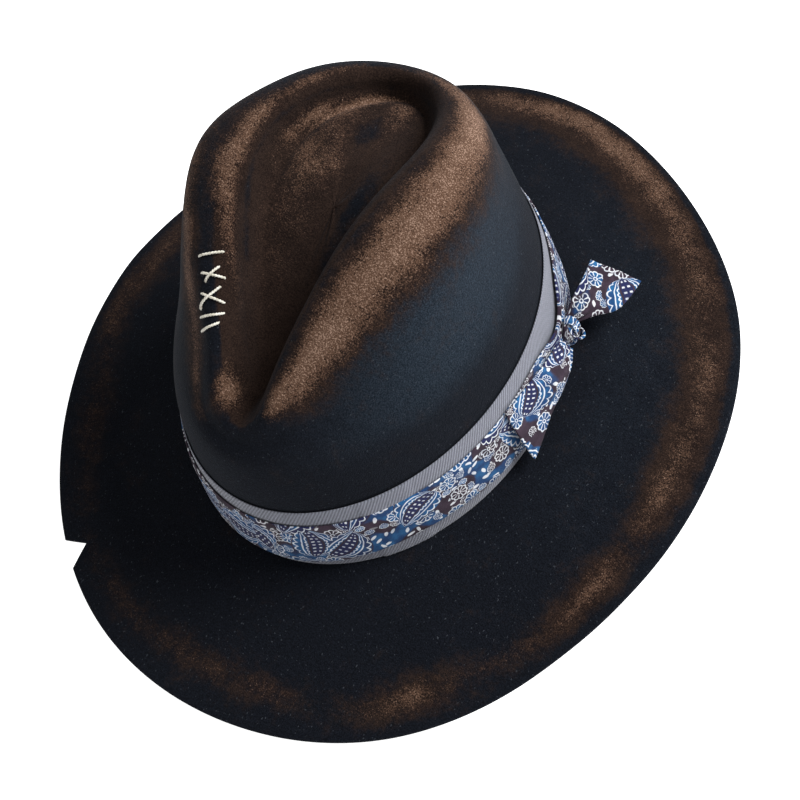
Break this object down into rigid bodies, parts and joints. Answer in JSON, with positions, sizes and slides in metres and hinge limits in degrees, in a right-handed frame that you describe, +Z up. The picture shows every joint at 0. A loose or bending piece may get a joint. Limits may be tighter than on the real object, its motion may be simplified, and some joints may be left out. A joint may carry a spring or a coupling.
{
  "type": "wide-brimmed felt hat",
  "caption": "Wide-brimmed felt hat with a teardrop crown, a ribbed band, a knotted paisley scarf ribbon and hand stitching over one ridge.",
  "frame": {"origin": "on the floor, under the middle of the brim's outline", "axes": "+Z up, the hat's front towards -Y, the wearer's left towards +X"},
  "size_m": [0.3156, 0.3498, 0.1475],
  "materials": {
    "felt": "napped black felt with brown rubbed patches",
    "grosgrain": "ribbed grey ribbon",
    "paisley_cotton": "printed cotton, dark ground with pale outlines",
    "thread": "cream waxed thread"
  },
  "bodies": {
    "root": {"felt_body": "felt", "grosgrain_band": "grosgrain", "paisley_ribbon": "paisley_cotton", "ribbon_knot": "paisley_cotton", "ribbon_tail_lower": "paisley_cotton", "ribbon_tail_upper": "paisley_cotton", "stitch_1": "thread", "stitch_2": "thread", "stitch_3": "thread", "stitch_4": "thread", "stitch_5": "thread", "stitch_6": "thread", "stitch_7": "thread"}
  },
  "joints": []
}
